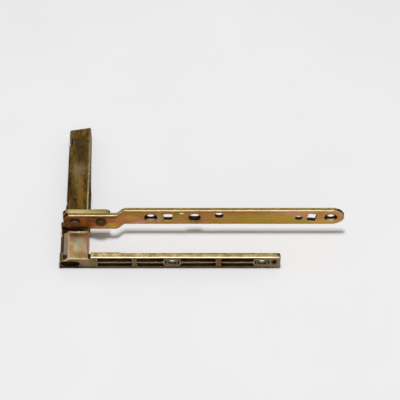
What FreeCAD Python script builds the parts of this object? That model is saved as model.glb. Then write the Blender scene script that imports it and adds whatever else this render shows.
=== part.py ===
import FreeCAD
import Part
import math
import os

# Lower corner hinge of a window, in millimetres.
# The frame side is a die-cast rail with a steel saddle over its corner and a fixed pin.
# The sash side is a riveted strip and plate with a folded post, carried on a barrel bush.
# While modelling, X runs from the rail's left end, Y from its mounting face, Z from the
# plane that it rests on. The finished pieces are moved so that the origin is the middle of
# the footprint. Mounted in a window, +Y points up and +Z into the room.

# Hinge axis, parallel to Y
PIVOT_X = 10.9
PIVOT_Z = 6.0

# Ribbed rail
RAIL_LENGTH = 152.4
RAIL_HEIGHT = 14.5
RAIL_DEPTH = 3.8
CORNER_LENGTH = 43.6
CORNER_DEPTH = 4.4
RAIL_SKIN = 1.3
TOP_RIM = 1.0
BOTTOM_RIM = 2.2
MIDDLE_RIB = 1.2
MIDDLE_RIB_Z = 7.8
END_DRAFT = 1.1
FIRST_POCKET_X = 26.5
CROSS_WEB_NARROW = 1.6
CROSS_WEB_WIDE = 5.4
CROSS_BEFORE_SCREW = 25.9
CROSS_AFTER_SCREW = 31.8

# Screw bosses of the rail
FIRST_SCREW_X = 78.0
SECOND_SCREW_FROM_END = 12.6
FRAME_SCREW_RADIUS = 2.9
FRAME_SCREW_HEAD_RADIUS = 4.9
BOSS_WALL = 1.3
CELL_HALF_WIDTH = 6.6
CELL_HALF_SIDE = 5.1
CELL_RISE = 4.5
CELL_WALL = 1.2

# Slanted slit near the rail's free end
SLIT_FROM_END = 4.3
SLIT_Z = 8.6
SLIT_LENGTH = 5.2
SLIT_WIDTH = 1.5
SLIT_LEAN = 30.0
SLIT_DEPTH = 2.2

# Oval recess round the riveted end of the pin
RECESS_LENGTH = 13.5
RECESS_HEIGHT = 6.2
RECESS_LEFT_OF_PIN = 2.9
RECESS_DEPTH = 4.0

# Steel saddle over the rail's corner
SADDLE_LEFT = 3.4
SADDLE_WIDTH = 17.0
SADDLE_LEFT_BEVEL = 3.5
SADDLE_RIGHT_BEVEL = 0.9
SADDLE_TOP = 14.0
SADDLE_WALL = 1.5
SADDLE_REAR = 21.4
SADDLE_BEND_Y = 6.6
SADDLE_DROP = 0.7
SADDLE_LIFT = 0.5
SADDLE_ROOM = 2.0
SADDLE_ROOM_DROP = 2.2

# Cast cheek at the left of the saddle, its outer side leaning in
CHEEK_LEFT = 0.8
CHEEK_LOW = 4.5
CHEEK_BELOW_BEVEL = 0.2
CHEEK_PAST_SADDLE = 0.6

# Pin, washer, barrel bush and clip
PIN_RADIUS = 2.5
PIN_HEAD_RADIUS = 2.9
PIN_HEAD_HEIGHT = 1.3
PIN_FLANGE_RADIUS = 5.0
PIN_TAIL = 2.0
PIN_PRESS_CLEARANCE = 0.02
RUNNING_CLEARANCE = 0.05
WASHER_RADIUS = 5.0
WASHER_THICKNESS = 1.0
BUSH_RADIUS = 4.2
BUSH_LENGTH = 4.2
CLIP_THICKNESS = 0.7
CLIP_RADIUS = 4.0
CLIP_GROOVE_DEPTH = 0.6
CLIP_SIDE_GAP = 0.1
CLIP_MOUTH = 2.6

# Sash strip
ARM_LEFT = 3.2
ARM_LENGTH = 193.2
ARM_HEIGHT = 17.6
ARM_THICKNESS = 2.6
ARM_BOTTOM = 13.1
ARM_END_RADIUS = 11.5
ARM_FRONT_GAP = 2.2
JOGGLE_START = 40.2
JOGGLE_RUN = 4.8
JOGGLE_EXTRA = 1.4
ARM_EDGE = 0.5

# Holes of the sash strip
SASH_SCREW_X = 63.2
SASH_SCREW_FROM_END = 9.2
SASH_SCREW_RADIUS = 2.9
SASH_SCREW_HEAD_RADIUS = 4.7
SASH_SCREW_SINK = 0.7
SQUARE_HOLE_X = 75.1
SQUARE_HOLE_WIDTH = 6.2
SQUARE_HOLE_HEIGHT = 7.6
SQUARE_HOLE_RISE = 0.4
SQUARE_HOLE_CORNER = 1.4
DIMPLE_X = 84.6
DIMPLE_RISE = 3.4
DIMPLE_RADIUS = 2.6
DIMPLE_HEIGHT = 0.5
LARGE_HOLE_X = 93.5
LARGE_HOLE_RADIUS = 4.4
LARGE_COLLAR_WALL = 0.9
LARGE_COLLAR_LENGTH = 1.3
UPPER_HOLE_X = 110.3
UPPER_HOLE_RISE = 2.7
UPPER_HOLE_RADIUS = 3.2
SMALL_HOLE_FROM_END = 31.3
SMALL_HOLE_DROP = 0.6
SMALL_HOLE_RADIUS = 2.7
SLANTED_SLOT_FROM_END = 22.2
SLANTED_SLOT_WIDTH = 6.2
SLANTED_SLOT_HEIGHT = 8.6
SLANTED_SLOT_LEAN = 10.0
SLANTED_SLOT_CORNER = 0.8

# Hinge plate behind the strip
PLATE_RIGHT = 35.5
PLATE_THICKNESS = 2.6
PLATE_LEFT = 3.0
PLATE_CORNER = 3.0
PLATE_LEFT_CORNER = 4.5
LUG_LEFT = 1.1
LUG_RIGHT = 19.9
LUG_BOTTOM = 0.6
LUG_RISE = 1.0
LUG_CORNER = 1.8

# Rivets that hold the strip to the plate
INNER_RIVET_X = 11.1
OUTER_RIVET_X = 29.1
RIVET_RISE = 0.4
RIVET_RADIUS = 2.5
RIVET_HEAD_RADIUS = 3.6
INNER_HEAD_HEIGHT = 1.7
OUTER_HEAD_HEIGHT = 1.4
RIVET_RIM = 0.6
RIVET_REAR_RADIUS = 3.4
RIVET_REAR_DEPTH = 1.1

# Folded post of the sash
POST_LEFT = 4.4
POST_WIDTH = 16.2
POST_HEIGHT = 13.0
POST_WALL = 2.0
POST_LEFT_BEVEL = 0.7
POST_RIGHT_BEVEL = 1.6
POST_END = 108.2
POST_END_SLOPE = 2.6
POST_LEFT_TAPER = 0.3
POST_RIGHT_TAPER = 0.7
POST_STEP_Y = 60.3
POST_STEP = 0.4
POST_DENT_Y = 44.5
POST_DENT = 0.5
POST_FLARE = 0.4
POST_DENT_LENGTH = 5.0
TENON_LENGTH_LEFT = 2.4
TENON_LENGTH_RIGHT = 4.0
TENON_INSET = 1.0

# Hook notch in the post's left edge
NOTCH_FROM_END = 12.6
NOTCH_WIDTH = 6.7
NOTCH_DEPTH = 1.7
NOTCH_SPLAY = 1.0
HOOK_FROM_END = 12.6
HOOK_LENGTH = 5.6
HOOK_WIDTH = 2.2
HOOK_LEAN = 32.0
HOOK_REACH = 2.4

# Places worked out from the sizes above
ARM_MIDDLE_Z = ARM_BOTTOM + ARM_HEIGHT / 2
ARM_TOP = ARM_BOTTOM + ARM_HEIGHT
ARM_RIGHT = ARM_LEFT + ARM_LENGTH
ARM_FRONT = SADDLE_REAR + ARM_FRONT_GAP
JOGGLE_SHIFT = PLATE_THICKNESS + JOGGLE_EXTRA
PLATE_FRONT = ARM_FRONT + ARM_THICKNESS
PLATE_REAR = PLATE_FRONT + PLATE_THICKNESS
PLATE_MIDDLE = PLATE_FRONT + PLATE_THICKNESS / 2
SADDLE_RIGHT = SADDLE_LEFT + SADDLE_WIDTH
POST_RIGHT = POST_LEFT + POST_WIDTH
SECOND_SCREW_X = RAIL_LENGTH - SECOND_SCREW_FROM_END
RIVET_Z = ARM_MIDDLE_Z + RIVET_RISE
CHEEK_REAR = SADDLE_REAR + CHEEK_PAST_SADDLE
ORIGIN_SHIFT = FreeCAD.Vector(-ARM_RIGHT / 2, -POST_END / 2, 0)


def box(x0, x1, y0, y1, z0, z1):
    """Box between three pairs of coordinates."""
    return Part.makeBox(x1 - x0, y1 - y0, z1 - z0, FreeCAD.Vector(x0, y0, z0))


def cylinder(x, z, radius, y0, y1):
    """Cylinder whose axis is parallel to Y."""
    along_y = FreeCAD.Vector(0, 1, 0)
    return Part.makeCylinder(radius, y1 - y0, FreeCAD.Vector(x, y0, z), along_y)


def cone(x, z, radius_0, radius_1, y0, y1):
    """Cone whose axis is parallel to Y."""
    along_y = FreeCAD.Vector(0, 1, 0)
    return Part.makeCone(radius_0, radius_1, y1 - y0, FreeCAD.Vector(x, y0, z), along_y)


def rounded_face(corners, to_point):
    """Flat face from corners (a, b, radius); to_point turns a and b into a point."""
    count = len(corners)
    starts = []
    ends = []
    middles = []
    for index, (a, b, radius) in enumerate(corners):
        corner = FreeCAD.Vector(a, b, 0)
        before = FreeCAD.Vector(*corners[index - 1][:2], 0) - corner
        after = FreeCAD.Vector(*corners[(index + 1) % count][:2], 0) - corner
        before.normalize()
        after.normalize()
        half_angle = before.getAngle(after) / 2
        reach = radius / math.tan(half_angle)
        inward = before + after
        inward.normalize()
        starts.append(corner + before * reach)
        ends.append(corner + after * reach)
        middles.append(corner + inward * (radius / math.sin(half_angle) - radius))
    edges = []
    for index in range(count):
        start, middle, end = (to_point(p.x, p.y) for p in (starts[index], middles[index], ends[index]))
        if corners[index][2] > 0:
            edges.append(Part.Arc(start, middle, end).toShape())
        following = to_point(starts[(index + 1) % count].x, starts[(index + 1) % count].y)
        if end.distanceToPoint(following) > 1e-6:
            edges.append(Part.LineSegment(end, following).toShape())
    return Part.Face(Part.Wire(edges))


def sharp(points):
    """The same points as corners without a radius."""
    return [(a, b, 0) for a, b in points]


def along_y(corners, y0, y1):
    """Prism of an outline in X and Z, from y0 to y1."""
    face = rounded_face(corners, lambda a, b: FreeCAD.Vector(a, y0, b))
    return face.extrude(FreeCAD.Vector(0, y1 - y0, 0))


def along_x(corners, x0, x1):
    """Prism of an outline in Y and Z, from x0 to x1."""
    face = rounded_face(corners, lambda a, b: FreeCAD.Vector(x0, a, b))
    return face.extrude(FreeCAD.Vector(x1 - x0, 0, 0))


def along_z(corners, z0, z1):
    """Prism of an outline in X and Y, from z0 to z1."""
    face = rounded_face(corners, lambda a, b: FreeCAD.Vector(a, b, z0))
    return face.extrude(FreeCAD.Vector(0, 0, z1 - z0))


def rounded_bar(x, z, length, width, corner, lean, y0, y1):
    """Rounded rectangle along Y, its long side leaning from the Z direction by lean degrees."""
    half_w = width / 2
    half_l = length / 2
    corners = [(-half_w, -half_l, corner), (half_w, -half_l, corner),
               (half_w, half_l, corner), (-half_w, half_l, corner)]
    bar = along_y(corners, y0, y1)
    bar.rotate(FreeCAD.Vector(0, 0, 0), FreeCAD.Vector(0, 1, 0), lean)
    bar.translate(FreeCAD.Vector(x, 0, z))
    return bar


def revolved(profile):
    """Solid turned round the hinge axis from points (radius, y)."""
    points = [FreeCAD.Vector(PIVOT_X + radius, y, PIVOT_Z) for radius, y in profile]
    face = Part.Face(Part.makePolygon(points + [points[0]]))
    return face.revolve(FreeCAD.Vector(PIVOT_X, 0, PIVOT_Z), FreeCAD.Vector(0, 1, 0), 360)


def bend_corners(x, top, bevel, towards):
    """Corners of one bevelled bend at x, the lower first; towards is 1 or -1, into the channel."""
    if bevel <= 0:
        return [(x, top, 0)]
    return [(x, top - bevel, bevel / 4), (x + towards * bevel, top, bevel / 4)]


def channel_outline(left, right, top, bottom, left_bevel, right_bevel, inset):
    """Outline of a folded channel, inset by a wall from its outer faces."""
    shrink = inset * math.tan(math.radians(22.5))
    left_bend = bend_corners(left + inset, top - inset, left_bevel - shrink, 1)
    right_bend = bend_corners(right - inset, top - inset, right_bevel - shrink, -1)
    return [(left + inset, bottom, 0), (right - inset, bottom, 0)] + right_bend + left_bend[::-1]


def save(node, solid):
    """Move a finished piece to the shared origin and write it."""
    placed = solid.removeSplitter()
    placed.translate(ORIGIN_SHIFT)
    placed.exportStep("parts/" + node + ".step")


# Frame side


def saddle_form(inset, bottom, y0, y1):
    """The saddle's outer form, or its hollow with an inset: its front part is bent down."""
    outline = channel_outline(SADDLE_LEFT, SADDLE_RIGHT, SADDLE_TOP, bottom,
                              SADDLE_LEFT_BEVEL, SADDLE_RIGHT_BEVEL, inset)
    ceiling = SADDLE_TOP - inset
    front_ceiling = ceiling + SADDLE_DROP * (y0 - SADDLE_BEND_Y) / SADDLE_BEND_Y
    slope = sharp([(y0, front_ceiling), (SADDLE_BEND_Y, ceiling),
                   (SADDLE_BEND_Y, ceiling + 1), (y0, ceiling + 1)])
    return along_y(outline, y0, y1).cut(along_x(slope, SADDLE_LEFT - 1, SADDLE_RIGHT + 1))


def saddle_hollow():
    """Hollow of the saddle, which the casting fills."""
    return saddle_form(SADDLE_WALL, -1, -1, SADDLE_REAR + 1)


def wall_room():
    """Room below the saddle's top at the rail, where its side walls are cut away."""
    front_top = SADDLE_TOP - SADDLE_DROP
    left = box(SADDLE_LEFT - 1, SADDLE_RIGHT + 1, -2, CORNER_DEPTH, -1, front_top - SADDLE_LEFT_BEVEL)
    right = box(SADDLE_RIGHT - SADDLE_WALL, SADDLE_RIGHT + 1, -2, CORNER_DEPTH, -1, front_top - SADDLE_WALL)
    return left.fuse(right)


def make_saddle():
    """Steel cap folded over the corner; its side walls start behind the rail."""
    outer = saddle_form(0, SADDLE_LIFT, 0, SADDLE_REAR)
    return outer.cut(saddle_hollow()).cut(wall_room())


def rail_bar(length, depth):
    """Plain bar of the rail with rounded long edges and a rounded free end."""
    section = [(0, 0, 0.3), (depth, 0, 0.5), (depth, RAIL_HEIGHT, 0.6), (0, RAIL_HEIGHT, 1.0)]
    plan = [(0, 0, 0.6), (length, 0, 0.8), (length, depth, 1.6), (0, depth, 0.6)]
    front = [(0, 0, 0.6), (length, 0, 1.0), (length, RAIL_HEIGHT, 1.8), (END_DRAFT, RAIL_HEIGHT, 1.2)]
    bar = along_x(section, 0, length)
    return bar.common(along_z(plan, 0, RAIL_HEIGHT)).common(along_y(front, 0, depth))


def cell_prism(x, shrink, y0, y1):
    """Six-sided cell round a screw boss, its side points on the middle rib."""
    point = CELL_HALF_WIDTH - shrink
    side = CELL_HALF_SIDE - shrink / 2
    low = MIDDLE_RIB_Z - CELL_RISE + shrink
    high = MIDDLE_RIB_Z + CELL_RISE - shrink
    return along_y([(x - side, low, 0.5), (x + side, low, 0.5), (x + point, MIDDLE_RIB_Z, 0.5),
                    (x + side, high, 0.5), (x - side, high, 0.5), (x - point, MIDDLE_RIB_Z, 0.5)], y0, y1)


def cross_web(x, y0, y1):
    """Web across the tray, narrow at the middle rib."""
    narrow = CROSS_WEB_NARROW / 2
    wide = CROSS_WEB_WIDE / 2
    return along_y(sharp([(x - wide, 0), (x + wide, 0), (x + narrow, MIDDLE_RIB_Z), (x + wide, RAIL_HEIGHT),
                          (x - wide, RAIL_HEIGHT), (x - narrow, MIDDLE_RIB_Z)]), y0, y1)


def rail_hollow():
    """Room of the tray behind the mounting face: all but its rib, webs and screw cells."""
    floor = RAIL_DEPTH - RAIL_SKIN
    low = BOTTOM_RIM
    high = RAIL_HEIGHT - TOP_RIM
    tray = along_y([(FIRST_POCKET_X, low, 0.8), (SECOND_SCREW_X, low, 0), (SECOND_SCREW_X, high, 0),
                    (FIRST_POCKET_X, high, 0.8)], -1, floor)
    tray = tray.cut(box(FIRST_POCKET_X - 1, SECOND_SCREW_X + 1, -2, floor + 1,
                        MIDDLE_RIB_Z - MIDDLE_RIB / 2, MIDDLE_RIB_Z + MIDDLE_RIB / 2))
    for x in (FIRST_SCREW_X - CROSS_BEFORE_SCREW, FIRST_SCREW_X + CROSS_AFTER_SCREW):
        tray = tray.cut(cross_web(x, -2, floor + 1))
    for x in (FIRST_SCREW_X, SECOND_SCREW_X):
        boss = cylinder(x, MIDDLE_RIB_Z, FRAME_SCREW_RADIUS + BOSS_WALL, -3, RAIL_DEPTH)
        tray = tray.cut(cell_prism(x, 0, -2, floor + 1)).fuse(cell_prism(x, CELL_WALL, -1, floor).cut(boss))
    return tray


def frame_screw_hole(x):
    """Countersunk hole, its head on the smooth rear side."""
    sink = FRAME_SCREW_HEAD_RADIUS - FRAME_SCREW_RADIUS
    hole = cylinder(x, MIDDLE_RIB_Z, FRAME_SCREW_RADIUS, -1, RAIL_DEPTH + 1)
    head = cone(x, MIDDLE_RIB_Z, FRAME_SCREW_RADIUS, FRAME_SCREW_HEAD_RADIUS,
                RAIL_DEPTH - sink, RAIL_DEPTH)
    return hole.fuse(head)


def make_cheek():
    """Cheek that closes the saddle's left side."""
    high = SADDLE_TOP - SADDLE_LEFT_BEVEL - CHEEK_BELOW_BEVEL
    outline = sharp([(CHEEK_LEFT, 0), (SADDLE_LEFT, 0), (SADDLE_LEFT, high), (CHEEK_LEFT, CHEEK_LOW)])
    return along_y(outline, RAIL_SKIN, CHEEK_REAR)


def make_rail():
    """Die-cast rail with the housing of the pin and a cheek at its corner."""
    rail = rail_bar(RAIL_LENGTH, RAIL_DEPTH).fuse(rail_bar(CORNER_LENGTH, CORNER_DEPTH))
    seat = box(SADDLE_LEFT, SADDLE_RIGHT, -1, CORNER_DEPTH + 1, SADDLE_LIFT, RAIL_HEIGHT + 1)
    rail = rail.cut(seat.cut(saddle_hollow().fuse(wall_room())))
    housing = saddle_hollow().common(box(SADDLE_LEFT, SADDLE_RIGHT, RAIL_SKIN, SADDLE_REAR,
                                         SADDLE_LIFT, SADDLE_TOP))
    rail = rail.fuse(housing).fuse(make_cheek())
    rail = rail.cut(rail_hollow())
    for x in (FIRST_SCREW_X, SECOND_SCREW_X):
        rail = rail.cut(frame_screw_hole(x))
    side_room = box(SADDLE_RIGHT, SADDLE_RIGHT + SADDLE_ROOM, -1, CORNER_DEPTH + 1,
                    RAIL_HEIGHT - SADDLE_ROOM_DROP, RAIL_HEIGHT + 1)
    rail = rail.cut(side_room)
    slit = rounded_bar(RAIL_LENGTH - SLIT_FROM_END, SLIT_Z, SLIT_LENGTH, SLIT_WIDTH,
                       SLIT_WIDTH / 2 - 0.01, SLIT_LEAN, -1, SLIT_DEPTH)
    recess = rounded_bar(PIVOT_X - RECESS_LEFT_OF_PIN, PIVOT_Z, RECESS_LENGTH,
                         RECESS_HEIGHT, RECESS_HEIGHT / 2 - 0.01, 90, -1, RECESS_DEPTH)
    bore = cylinder(PIVOT_X, PIVOT_Z, PIN_RADIUS + PIN_PRESS_CLEARANCE, 0, SADDLE_REAR + 1)
    return rail.cut(slit).cut(recess).cut(bore)


# The stack along the hinge axis
BUSH_START = PLATE_MIDDLE - BUSH_LENGTH / 2
BUSH_END = PLATE_MIDDLE + BUSH_LENGTH / 2
WASHER_END = BUSH_START - RUNNING_CLEARANCE
WASHER_START = WASHER_END - WASHER_THICKNESS
FLANGE_END = WASHER_START - RUNNING_CLEARANCE
GROOVE_START = BUSH_END + RUNNING_CLEARANCE
GROOVE_END = GROOVE_START + CLIP_THICKNESS + CLIP_SIDE_GAP
PIN_END = GROOVE_END + PIN_TAIL
GROOVE_RADIUS = PIN_RADIUS - CLIP_GROOVE_DEPTH


def make_pin():
    """Pin with a flange, a clip groove and an end riveted over in the recess."""
    chamfer = 0.5
    profile = [
        (0, RECESS_DEPTH - PIN_HEAD_HEIGHT),
        (PIN_HEAD_RADIUS - 0.6, RECESS_DEPTH - PIN_HEAD_HEIGHT),
        (PIN_HEAD_RADIUS, RECESS_DEPTH - PIN_HEAD_HEIGHT / 3),
        (PIN_HEAD_RADIUS, RECESS_DEPTH),
        (PIN_RADIUS, RECESS_DEPTH),
        (PIN_RADIUS, SADDLE_REAR),
        (PIN_FLANGE_RADIUS, SADDLE_REAR),
        (PIN_FLANGE_RADIUS, FLANGE_END),
        (PIN_RADIUS, FLANGE_END),
        (PIN_RADIUS, GROOVE_START),
        (GROOVE_RADIUS, GROOVE_START),
        (GROOVE_RADIUS, GROOVE_END),
        (PIN_RADIUS, GROOVE_END),
        (PIN_RADIUS, PIN_END - chamfer),
        (PIN_RADIUS - chamfer, PIN_END),
        (0, PIN_END),
    ]
    return revolved(profile)


def make_washer():
    """Flat washer between the flange and the bush."""
    inner = PIN_RADIUS + RUNNING_CLEARANCE
    profile = [(inner, WASHER_START), (WASHER_RADIUS, WASHER_START),
               (WASHER_RADIUS, WASHER_END), (inner, WASHER_END)]
    return revolved(profile)


def make_bush():
    """Barrel bush: a ball zone outside, a plain bore inside."""
    centre = FreeCAD.Vector(PIVOT_X, PLATE_MIDDLE, PIVOT_Z)
    zone = Part.makeSphere(BUSH_RADIUS, centre)
    reach = BUSH_RADIUS + 1
    slab = box(PIVOT_X - reach, PIVOT_X + reach, BUSH_START, BUSH_END, PIVOT_Z - reach, PIVOT_Z + reach)
    bore = cylinder(PIVOT_X, PIVOT_Z, PIN_RADIUS + RUNNING_CLEARANCE, BUSH_START - 1, BUSH_END + 1)
    return zone.common(slab).cut(bore)


def make_clip():
    """Open ring in the pin's groove, its mouth to the right."""
    start = GROOVE_START + CLIP_SIDE_GAP / 2
    end = start + CLIP_THICKNESS
    inner = GROOVE_RADIUS + PIN_PRESS_CLEARANCE
    ring = revolved([(inner, start), (CLIP_RADIUS, start), (CLIP_RADIUS, end), (inner, end)])
    mouth = box(PIVOT_X, PIVOT_X + CLIP_RADIUS + 1, start - 1, end + 1,
                PIVOT_Z - CLIP_MOUTH / 2, PIVOT_Z + CLIP_MOUTH / 2)
    return ring.cut(mouth)


# Sash side


def make_plate():
    """Plate behind the strip, its lug holding the barrel bush in a ball seat."""
    lug_top = ARM_BOTTOM + LUG_RISE
    corners = [(LUG_LEFT, LUG_BOTTOM, LUG_CORNER), (LUG_RIGHT, LUG_BOTTOM, LUG_CORNER),
               (LUG_RIGHT, ARM_BOTTOM, LUG_CORNER / 2), (PLATE_RIGHT, ARM_BOTTOM, PLATE_CORNER),
               (PLATE_RIGHT, ARM_TOP, PLATE_CORNER), (PLATE_LEFT, ARM_TOP, PLATE_LEFT_CORNER),
               (PLATE_LEFT, lug_top, 0), (LUG_LEFT, lug_top, LUG_CORNER)]
    plate = along_y(corners, PLATE_FRONT, PLATE_REAR)
    centre = FreeCAD.Vector(PIVOT_X, PLATE_MIDDLE, PIVOT_Z)
    plate = plate.cut(Part.makeSphere(BUSH_RADIUS + RUNNING_CLEARANCE, centre))
    for tenon in post_tenons():
        plate = plate.cut(tenon)
    for x in (INNER_RIVET_X, OUTER_RIVET_X):
        plate = plate.cut(rivet_shank(x))
    return plate


def arm_path():
    """Outline in X and Y of the joggled strip."""
    jog_end = JOGGLE_START + JOGGLE_RUN
    inner_bend = 1.5
    outer_bend = inner_bend + ARM_THICKNESS
    straight = ARM_FRONT + JOGGLE_SHIFT
    front = [(ARM_LEFT, ARM_FRONT, 0), (JOGGLE_START, ARM_FRONT, outer_bend),
             (jog_end, straight, inner_bend), (ARM_RIGHT, straight, 0)]
    rear = [(ARM_RIGHT, straight + ARM_THICKNESS, 0), (jog_end, straight + ARM_THICKNESS, outer_bend),
            (JOGGLE_START, ARM_FRONT + ARM_THICKNESS, inner_bend), (ARM_LEFT, ARM_FRONT + ARM_THICKNESS, 0)]
    return front + rear


def countersunk(x, radius, head_radius, face):
    """Through hole with its sink open to the front of the strip at y = face."""
    hole = cylinder(x, ARM_MIDDLE_Z, radius, face - 1, face + ARM_THICKNESS + 1)
    return hole.fuse(cone(x, ARM_MIDDLE_Z, head_radius, radius, face, face + SASH_SCREW_SINK))


def make_arm():
    """Joggled strip with its row of holes."""
    strip = along_z(arm_path(), ARM_BOTTOM, ARM_TOP)
    half = ARM_HEIGHT / 2 - 0.01
    outline = [(ARM_LEFT - 1, ARM_BOTTOM, 0), (ARM_RIGHT, ARM_BOTTOM, half),
               (ARM_RIGHT, ARM_TOP, half), (ARM_LEFT - 1, ARM_TOP, 0)]
    face = ARM_FRONT + JOGGLE_SHIFT
    rear = face + ARM_THICKNESS
    strip = strip.common(along_y(outline, ARM_FRONT - 1, rear + 1))
    end_centre = ARM_LEFT + ARM_END_RADIUS
    end_room = box(ARM_LEFT - 1, end_centre, ARM_FRONT - 1, rear, ARM_BOTTOM - 1, ARM_TOP + 1)
    end_disc = cylinder(end_centre, ARM_MIDDLE_Z, ARM_END_RADIUS, ARM_FRONT - 2, rear + 1)
    strip = strip.cut(end_room.cut(end_disc))
    long_edges = [edge for edge in strip.Edges if is_long_outer_edge(edge)]
    strip = strip.makeFillet(ARM_EDGE, long_edges)
    for x in (SASH_SCREW_X, ARM_RIGHT - SASH_SCREW_FROM_END):
        strip = strip.cut(countersunk(x, SASH_SCREW_RADIUS, SASH_SCREW_HEAD_RADIUS, face))
    collar_end = rear + LARGE_COLLAR_LENGTH
    collar_radius = LARGE_HOLE_RADIUS + LARGE_COLLAR_WALL
    strip = strip.fuse(cylinder(LARGE_HOLE_X, ARM_MIDDLE_Z, collar_radius, rear - 0.5, collar_end))
    small_x = ARM_RIGHT - SMALL_HOLE_FROM_END
    small_z = ARM_MIDDLE_Z - SMALL_HOLE_DROP
    cuts = [
        rounded_bar(SQUARE_HOLE_X, ARM_MIDDLE_Z + SQUARE_HOLE_RISE, SQUARE_HOLE_HEIGHT, SQUARE_HOLE_WIDTH,
                    SQUARE_HOLE_CORNER, 0, face - 1, rear + 1),
        cylinder(LARGE_HOLE_X, ARM_MIDDLE_Z, LARGE_HOLE_RADIUS, face - 1, collar_end + 1),
        cylinder(UPPER_HOLE_X, ARM_MIDDLE_Z + UPPER_HOLE_RISE, UPPER_HOLE_RADIUS, face - 1, rear + 1),
        cylinder(small_x, small_z, SMALL_HOLE_RADIUS, face - 1, rear + 1),
        rounded_bar(ARM_RIGHT - SLANTED_SLOT_FROM_END, ARM_MIDDLE_Z, SLANTED_SLOT_HEIGHT, SLANTED_SLOT_WIDTH,
                    SLANTED_SLOT_CORNER, SLANTED_SLOT_LEAN, face - 1, rear + 1),
        cylinder(DIMPLE_X, ARM_MIDDLE_Z + DIMPLE_RISE, DIMPLE_RADIUS - 0.3,
                 rear - DIMPLE_HEIGHT, rear + 1),
    ]
    cuts += [rivet_shank(x) for x in (INNER_RIVET_X, OUTER_RIVET_X)]
    for cut in cuts:
        strip = strip.cut(cut)
    dimple = cone(DIMPLE_X, ARM_MIDDLE_Z + DIMPLE_RISE, DIMPLE_RADIUS - 0.4, DIMPLE_RADIUS,
                  face - DIMPLE_HEIGHT, face + 0.1)
    return strip.fuse(dimple)


def is_long_outer_edge(edge):
    """True for the edges that run along the strip's upper and lower sides."""
    box_of = edge.BoundBox
    level = abs(box_of.ZMax - box_of.ZMin) < 1e-6
    at_side = min(abs(box_of.ZMin - ARM_BOTTOM), abs(box_of.ZMax - ARM_TOP)) < 1e-6
    along = box_of.XMax - box_of.XMin > ARM_THICKNESS / 4
    return level and at_side and along


def rivet_shank(x):
    """Room of a rivet: its shank and its sunk rear end."""
    shank = cylinder(x, RIVET_Z, RIVET_RADIUS, ARM_FRONT, PLATE_REAR)
    sunk = cone(x, RIVET_Z, RIVET_RADIUS, RIVET_REAR_RADIUS, PLATE_REAR - RIVET_REAR_DEPTH, PLATE_REAR)
    return shank.fuse(sunk)


def make_rivet(x, head_height):
    """Rivet with a drum head, its rim rounded, and a rear end hammered flush."""
    crown = ARM_FRONT - head_height
    drum = cylinder(x, RIVET_Z, RIVET_HEAD_RADIUS, crown, ARM_FRONT)
    rim = [edge for edge in drum.Edges if abs(edge.BoundBox.YMax - crown) < 1e-6]
    return drum.makeFillet(RIVET_RIM, rim).fuse(rivet_shank(x))


def post_tenons():
    """Two tongues of the post's top that pass through the plate."""
    left = POST_LEFT + TENON_INSET
    right = POST_RIGHT - POST_WALL
    spans = [(left, left + TENON_LENGTH_LEFT), (right - TENON_LENGTH_RIGHT, right)]
    return [box(x0, x1, PLATE_FRONT, PLATE_REAR, POST_HEIGHT - POST_WALL, POST_HEIGHT) for x0, x1 in spans]


def post_form(inset, bottom, y0, y1):
    """Prism of the post's folded section, or of its hollow with an inset."""
    outline = channel_outline(POST_LEFT - POST_FLARE, POST_RIGHT, POST_HEIGHT, bottom,
                              POST_LEFT_BEVEL, POST_RIGHT_BEVEL, inset)
    return along_y(outline, y0, y1)


def post_plan():
    """Outline in X and Y: dented and tapered on the left, stepped on the right, with a slanted end."""
    left_end = POST_LEFT + POST_LEFT_TAPER
    right_end = POST_RIGHT - POST_STEP - POST_RIGHT_TAPER
    half_dent = POST_DENT_LENGTH / 2
    foot_left = POST_LEFT - POST_FLARE
    left_side = [(left_end, POST_END - POST_END_SLOPE, 1.4), (POST_LEFT, POST_DENT_Y + half_dent, 0),
                 (POST_LEFT + POST_DENT, POST_DENT_Y, 0), (foot_left, POST_DENT_Y - half_dent, 0),
                 (foot_left, PLATE_REAR, 0)]
    right_side = [(POST_RIGHT, PLATE_REAR, 0), (POST_RIGHT, POST_STEP_Y, 0),
                  (POST_RIGHT - POST_STEP, POST_STEP_Y, 0), (right_end, POST_END, 0.8)]
    return left_side + right_side


def post_notch():
    """Room of the notch, wider at the post's left edge."""
    middle = POST_END - NOTCH_FROM_END
    narrow = NOTCH_WIDTH / 2 - NOTCH_SPLAY
    wide = NOTCH_WIDTH / 2 + NOTCH_SPLAY
    outer = POST_LEFT - POST_FLARE - 1
    inner = POST_LEFT + NOTCH_DEPTH
    corners = [(outer, middle - wide, 0), (inner, middle - narrow, 0.5),
               (inner, middle + narrow, 0.5), (outer, middle + wide, 0)]
    return along_z(corners, -1, POST_HEIGHT + 1)


def post_hook():
    """Room of the slanted slot at the bottom of the notch."""
    half_l = HOOK_LENGTH / 2
    half_w = HOOK_WIDTH / 2
    corners = [(-half_w, -half_l, 0.6), (half_w, -half_l, 0.6), (half_w, half_l, 0.6), (-half_w, half_l, 0.6)]
    hook = along_z(corners, -1, POST_HEIGHT + 1)
    hook.rotate(FreeCAD.Vector(0, 0, 0), FreeCAD.Vector(0, 0, 1), -HOOK_LEAN)
    hook.translate(FreeCAD.Vector(POST_LEFT + HOOK_REACH, POST_END - HOOK_FROM_END, 0))
    return hook


def make_post():
    """Post folded as a channel, with a hook notch in its left edge."""
    post = post_form(0, 0, PLATE_REAR, POST_END).common(along_z(post_plan(), -1, POST_HEIGHT + 1))
    post = post.cut(post_form(POST_WALL, -1, PLATE_REAR - 1, POST_END + 1))
    post = post.cut(post_notch()).cut(post_hook())
    for tenon in post_tenons():
        post = post.fuse(tenon)
    return post


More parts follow.
